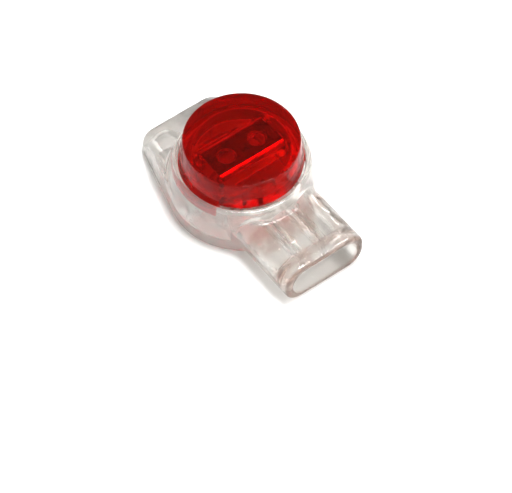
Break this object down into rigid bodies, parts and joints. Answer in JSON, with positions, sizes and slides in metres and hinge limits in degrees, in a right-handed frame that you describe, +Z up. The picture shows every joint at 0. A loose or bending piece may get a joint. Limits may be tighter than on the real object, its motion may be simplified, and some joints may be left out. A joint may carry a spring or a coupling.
{
  "type": "gel-filled wire splice connector",
  "caption": "Clear wire splice connector with a flat entry tube, a tapered tail and a red push button that presses a forked contact onto the wires.",
  "frame": {"origin": "on the push button's axis, at the underside of the housing", "axes": "+X along the wires, out of the entry tube; +Z up through the push button"},
  "size_m": [0.0224, 0.0134, 0.0077],
  "materials": {
    "clear_plastic": "clear moulded polycarbonate, glossy",
    "red_plastic": "clear red moulded polycarbonate, glossy",
    "tinned_strip": "stamped brass strip, bright tin plating",
    "sealing_gel": "soft translucent sealing gel"
  },
  "bodies": {
    "housing": {"base": "clear_plastic"},
    "button": {"cap": "red_plastic", "contact": "tinned_strip", "sealant": "sealing_gel"}
  },
  "joints": [
    {"name": "cap_press", "type": "slide", "parent": "housing", "child": "button", "axis": [0, 0, -1], "range_m": [0, 0.0028], "deforming": ["sealant"]}
  ]
}
